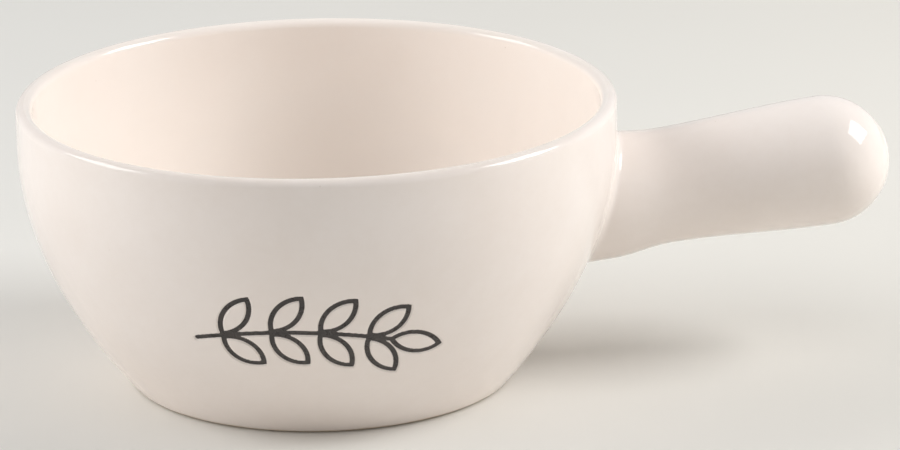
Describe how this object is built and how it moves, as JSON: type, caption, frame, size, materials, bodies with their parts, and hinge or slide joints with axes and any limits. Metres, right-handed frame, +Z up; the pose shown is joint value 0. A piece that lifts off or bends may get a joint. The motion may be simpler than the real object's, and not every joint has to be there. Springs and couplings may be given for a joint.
{
  "type": "soup mug",
  "caption": "Wide round glazed stoneware soup mug with a short round-ended stick handle, a rounded lip, a narrow foot ring and a dark line sprig on its front.",
  "frame": {"origin": "centre of the foot ring on the table plane, on the bowl's axis", "axes": "+Z up along the bowl's axis, +X from the bowl towards the handle, -Y towards the decorated front"},
  "size_m": [0.2053, 0.14, 0.0678],
  "materials": {
    "stoneware": "bare fired stoneware, matt and slightly rough",
    "slip": "fired joining slip, under the glaze",
    "outer_glaze": "glossy off-white glaze",
    "inner_glaze": "glossy warm off-white glaze",
    "stain": "dark charcoal underglaze stain, satin"
  },
  "bodies": {
    "root": {"bowl_casting": "stoneware", "handle_casting": "stoneware", "handle_slip_joint": "slip", "inner_glaze": "inner_glaze", "outer_glaze": "outer_glaze", "handle_glaze": "outer_glaze", "foot_glaze": "outer_glaze", "line_stain": "stain"}
  },
  "joints": []
}
